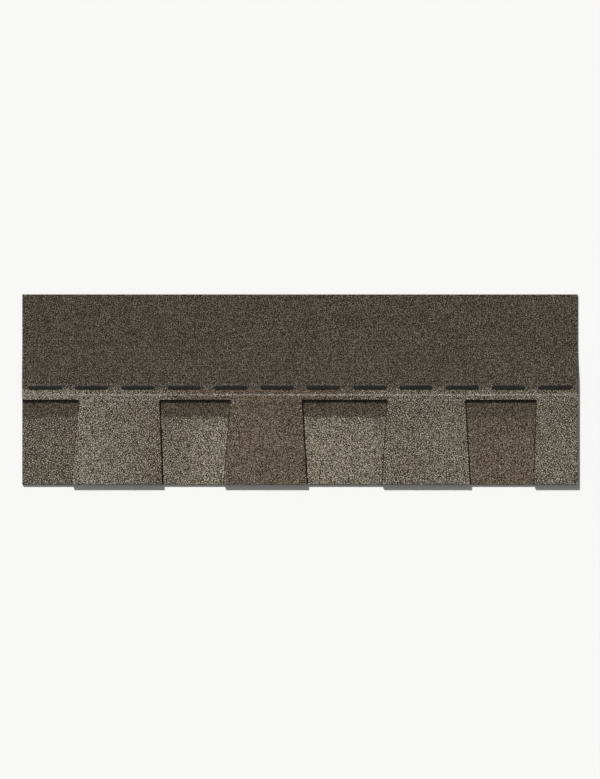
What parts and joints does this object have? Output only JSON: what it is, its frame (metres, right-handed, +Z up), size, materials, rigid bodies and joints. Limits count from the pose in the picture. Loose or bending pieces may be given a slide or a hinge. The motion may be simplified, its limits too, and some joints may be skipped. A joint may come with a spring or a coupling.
{
  "type": "laminated asphalt shingle",
  "caption": "Laminated asphalt roof shingle lying flat: granule-surfaced sheet cut into uneven tapered teeth, glued over a backer strip, with sealant dashes and a plain headlap.",
  "frame": {"origin": "on the floor under the middle of the shingle's length and height", "axes": "+X along the shingle, left to right seen from above with the teeth nearest; +Y from the butt edge, where the teeth end, to the top edge of the headlap; +Z up, out of the granule face"},
  "size_m": [0.984, 0.337, 0.0069],
  "materials": {
    "granule_sheet": "mineral granules in blended tan, grey and brown, pressed into asphalt on a glass mat",
    "granule_backer": "mineral granules, darker at the top of the slots, pressed into asphalt on a glass mat",
    "laminating_asphalt": "black asphalt adhesive, satin",
    "sealant_asphalt": "black modified asphalt, glossy",
    "release_film": "clear silicone-coated film, glossy"
  },
  "bodies": {
    "root": {"tooth_sheet": "granule_sheet", "backer_strip": "granule_backer", "common_bond_bead": "laminating_asphalt", "tooth_1_bead_1": "laminating_asphalt", "tooth_1_bead_2": "laminating_asphalt", "tooth_1_bead_3": "laminating_asphalt", "tooth_2_bead_1": "laminating_asphalt", "tooth_2_bead_2": "laminating_asphalt", "tooth_2_bead_3": "laminating_asphalt", "tooth_3_bead_1": "laminating_asphalt", "tooth_3_bead_2": "laminating_asphalt", "tooth_3_bead_3": "laminating_asphalt", "tooth_4_bead_1": "laminating_asphalt", "tooth_4_bead_2": "laminating_asphalt", "tooth_4_bead_3": "laminating_asphalt", "sealant_dash_01": "sealant_asphalt", "sealant_dash_02": "sealant_asphalt", "sealant_dash_03": "sealant_asphalt", "sealant_dash_04": "sealant_asphalt", "sealant_dash_05": "sealant_asphalt", "sealant_dash_06": "sealant_asphalt", "sealant_dash_07": "sealant_asphalt", "sealant_dash_08": "sealant_asphalt", "sealant_dash_09": "sealant_asphalt", "sealant_dash_10": "sealant_asphalt", "sealant_dash_11": "sealant_asphalt", "sealant_dash_12": "sealant_asphalt", "release_film": "release_film"}
  },
  "joints": []
}
